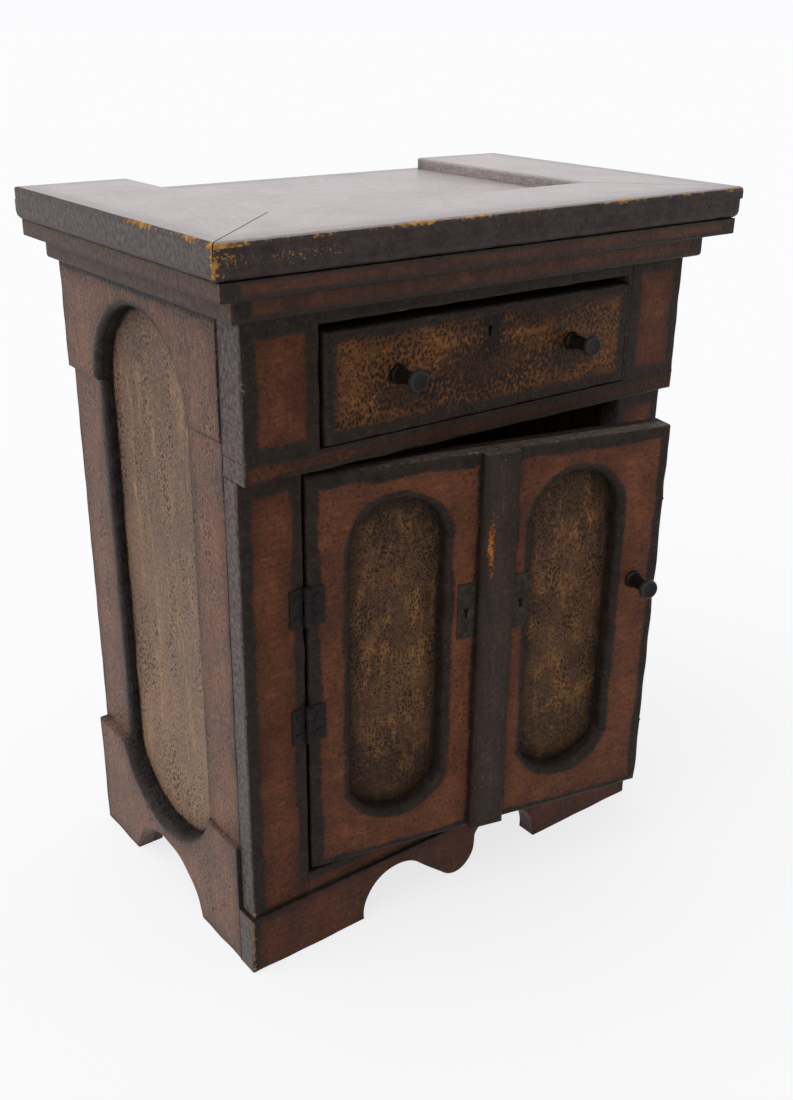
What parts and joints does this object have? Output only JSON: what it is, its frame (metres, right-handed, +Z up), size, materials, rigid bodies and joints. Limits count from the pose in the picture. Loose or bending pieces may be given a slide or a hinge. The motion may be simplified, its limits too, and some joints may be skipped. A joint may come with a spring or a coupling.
{
  "type": "miniature painted cupboard",
  "caption": "Small painted wooden cupboard on arched feet, with a drawer over a door that is dressed as a pair, arched recessed panels, a stepped cornice and a raised border round the top.",
  "frame": {"origin": "on the floor, at the middle of the space that the cupboard takes up with its door ajar as stored", "axes": "+Z up, the front with the door and drawer faces -Y, +X to the right of someone who faces the front"},
  "size_m": [0.414, 0.3032, 0.5],
  "materials": {
    "frame_paint": "red-brown painted fields with black borders, satin and worn",
    "side_paint": "greyed brown dotted paint, satin and worn",
    "top_paint": "worn purple-grey paint over bare edges",
    "cornice_paint": "black paint with pale rubbed edges",
    "door_paint": "ochre-brown dotted paint with black borders",
    "drawer_paint": "ochre paint with black stippling",
    "bare_wood": "unpainted aged softwood",
    "knob_wood": "turned and painted black, satin",
    "hinge_iron": "dark worn iron",
    "plate_brass": "darkened brass"
  },
  "bodies": {
    "case": {"side_panel_left": "side_paint", "side_panel_right": "side_paint", "side_top_board_left": "side_paint", "side_top_board_right": "side_paint", "side_foot_board_left": "side_paint", "side_foot_board_right": "side_paint", "side_front_stile_left": "side_paint", "side_front_stile_right": "side_paint", "side_back_stile_left": "side_paint", "side_back_stile_right": "side_paint", "back_board": "bare_wood", "floor_board": "bare_wood", "shelf": "bare_wood", "shelf_cleats": "bare_wood", "drawer_deck": "bare_wood", "drawer_guides": "bare_wood", "door_stop": "bare_wood", "upper_stile_left": "frame_paint", "upper_stile_right": "frame_paint", "top_rail": "frame_paint", "drawer_rail": "frame_paint", "lower_stile_left": "frame_paint", "lower_stile_right": "frame_paint", "bottom_rail": "frame_paint", "front_apron": "frame_paint", "cornice_low_front": "cornice_paint", "cornice_low_left": "cornice_paint", "cornice_low_right": "cornice_paint", "cornice_up_front": "cornice_paint", "cornice_up_left": "cornice_paint", "cornice_up_right": "cornice_paint", "top_board": "top_paint", "top_border_front": "top_paint", "top_border_left": "top_paint", "top_border_right": "top_paint", "hinge_case_leaves": "hinge_iron", "hinge_pins": "hinge_iron", "hinge_case_screws": "hinge_iron"},
    "door": {"door_back_panel": "door_paint", "door_top_board_left": "door_paint", "door_top_board_right": "door_paint", "door_bottom_board_left": "door_paint", "door_bottom_board_right": "door_paint", "door_hinge_stile": "door_paint", "door_mid_stile_left": "door_paint", "door_mid_stile_right": "door_paint", "door_lock_stile": "door_paint", "door_astragal": "door_paint", "door_lock_plate_left": "plate_brass", "door_lock_plate_right": "plate_brass", "door_knob": "knob_wood", "hinge_door_leaves": "hinge_iron", "hinge_door_screws": "hinge_iron"},
    "drawer": {"drawer_front": "drawer_paint", "drawer_side_left": "bare_wood", "drawer_side_right": "bare_wood", "drawer_back": "bare_wood", "drawer_bottom": "bare_wood", "drawer_knob_left": "knob_wood", "drawer_knob_right": "knob_wood"}
  },
  "joints": [
    {"name": "door_hinge", "type": "hinge", "parent": "case", "child": "door", "pos_m": [-0.1344, -0.07822, 0.2235], "axis": [0, 0, -1], "range_deg": [-12.5, 95]},
    {"name": "drawer_slide", "type": "slide", "parent": "case", "child": "drawer", "axis": [0, -1, 0], "range_m": [0, 0.15]}
  ]
}
